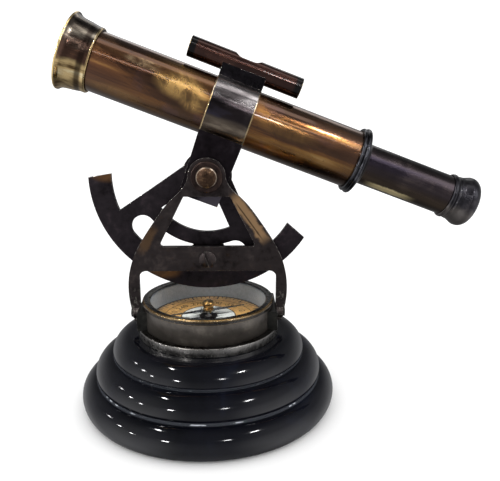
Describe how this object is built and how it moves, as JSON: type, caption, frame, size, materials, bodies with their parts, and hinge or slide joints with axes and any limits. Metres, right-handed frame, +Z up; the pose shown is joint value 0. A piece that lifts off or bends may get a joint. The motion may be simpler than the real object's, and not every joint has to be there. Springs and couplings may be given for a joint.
{
  "type": "theodolite",
  "caption": "Desk theodolite: draw telescope with spirit level on a slotted tilting sector, held by an A-shaped stand over a compass on a stepped round wooden base.",
  "frame": {"origin": "centre of the underside of the round base", "axes": "+Z up; +X to the eyepiece side, along the telescope seen from above; +Y to the rear, from the A-shaped stand to the telescope"},
  "size_m": [0.1816, 0.1112, 0.1644],
  "materials": {
    "lacquer_wood": "gloss black lacquer on turned wood",
    "felt": "green felt",
    "dark_bronze": "blackened brass, satin, worn to bright brass on edges",
    "antique_brass": "antiqued lacquered brass with lengthwise streaks",
    "bell_brass": "antiqued brass, rubbed bright on the lower side",
    "gunmetal": "polished gunmetal finish",
    "purple_gunmetal": "blackened brass with a purple sheen",
    "black_gloss": "black polished finish",
    "screw_brass": "aged brass",
    "plain_brass": "plain brass",
    "steel": "plain zinc-grey steel",
    "dial_copper": "copper-gold printed dial card",
    "needle_steel": "blued steel",
    "glass": "clear glass",
    "level_glass": "spirit vial, pale green spirit"
  },
  "bodies": {
    "base": {"wooden_base": "lacquer_wood", "felt_pad": "felt"},
    "alidade": {"base_washer": "steel", "base_bolt": "steel", "flange_ring": "dark_bronze", "compass_cup": "dark_bronze", "compass_dial": "dial_copper", "needle_pin": "steel", "glass_seat_ring": "dark_bronze", "compass_glass": "glass", "bezel_ring": "dark_bronze", "left_lug": "dark_bronze", "right_lug": "dark_bronze", "a_frame": "dark_bronze", "foot_screws": "dark_bronze", "pivot_washer": "dark_bronze", "pivot_screw": "screw_brass", "pivot_nut": "screw_brass", "clamp_collar": "dark_bronze", "clamp_washer": "dark_bronze", "clamp_nut": "screw_brass"},
    "needle": {"compass_needle": "needle_steel", "needle_cap": "screw_brass"},
    "clamp": {"clamp_screw": "dark_bronze"},
    "telescope": {"sector_arc": "dark_bronze", "sector_rivets": "dark_bronze", "clamp_band": "gunmetal", "neck_plate": "dark_bronze", "main_tube": "antique_brass", "objective_bell": "bell_brass", "objective_lens": "glass", "lens_ring": "plain_brass", "rear_ferrule": "black_gloss", "level_saddle": "dark_bronze", "level_tube": "antique_brass", "level_end_plugs": "antique_brass", "level_vial": "level_glass"},
    "eyepiece": {"draw_tube": "purple_gunmetal", "draw_stop_ring": "plain_brass", "eyepiece_cap": "black_gloss", "eyepiece_lens": "glass", "eyepiece_lens_ring": "plain_brass"}
  },
  "joints": [
    {"name": "azimuth_turn", "type": "hinge", "parent": "base", "child": "alidade", "pos_m": [0, 0, 0.0312], "axis": [0, 0, 1], "continuous": true},
    {"name": "needle_swing", "type": "hinge", "parent": "alidade", "child": "needle", "pos_m": [0, 0, 0.0392], "axis": [0, 0, 1], "continuous": true},
    {"name": "tilt", "type": "hinge", "parent": "alidade", "child": "telescope", "pos_m": [0, 0.003, 0.0988], "axis": [0, -1, 0], "range_deg": [-19, 51]},
    {"name": "draw_focus", "type": "slide", "parent": "telescope", "child": "eyepiece", "axis": [0.9373, 0, -0.3486], "range_m": [-0.039, 0.0025]},
    {"name": "clamp_turn", "type": "hinge", "parent": "alidade", "child": "clamp", "pos_m": [0, 0, 0.0633], "axis": [0, -1, 0], "range_deg": [-180, 180]}
  ]
}
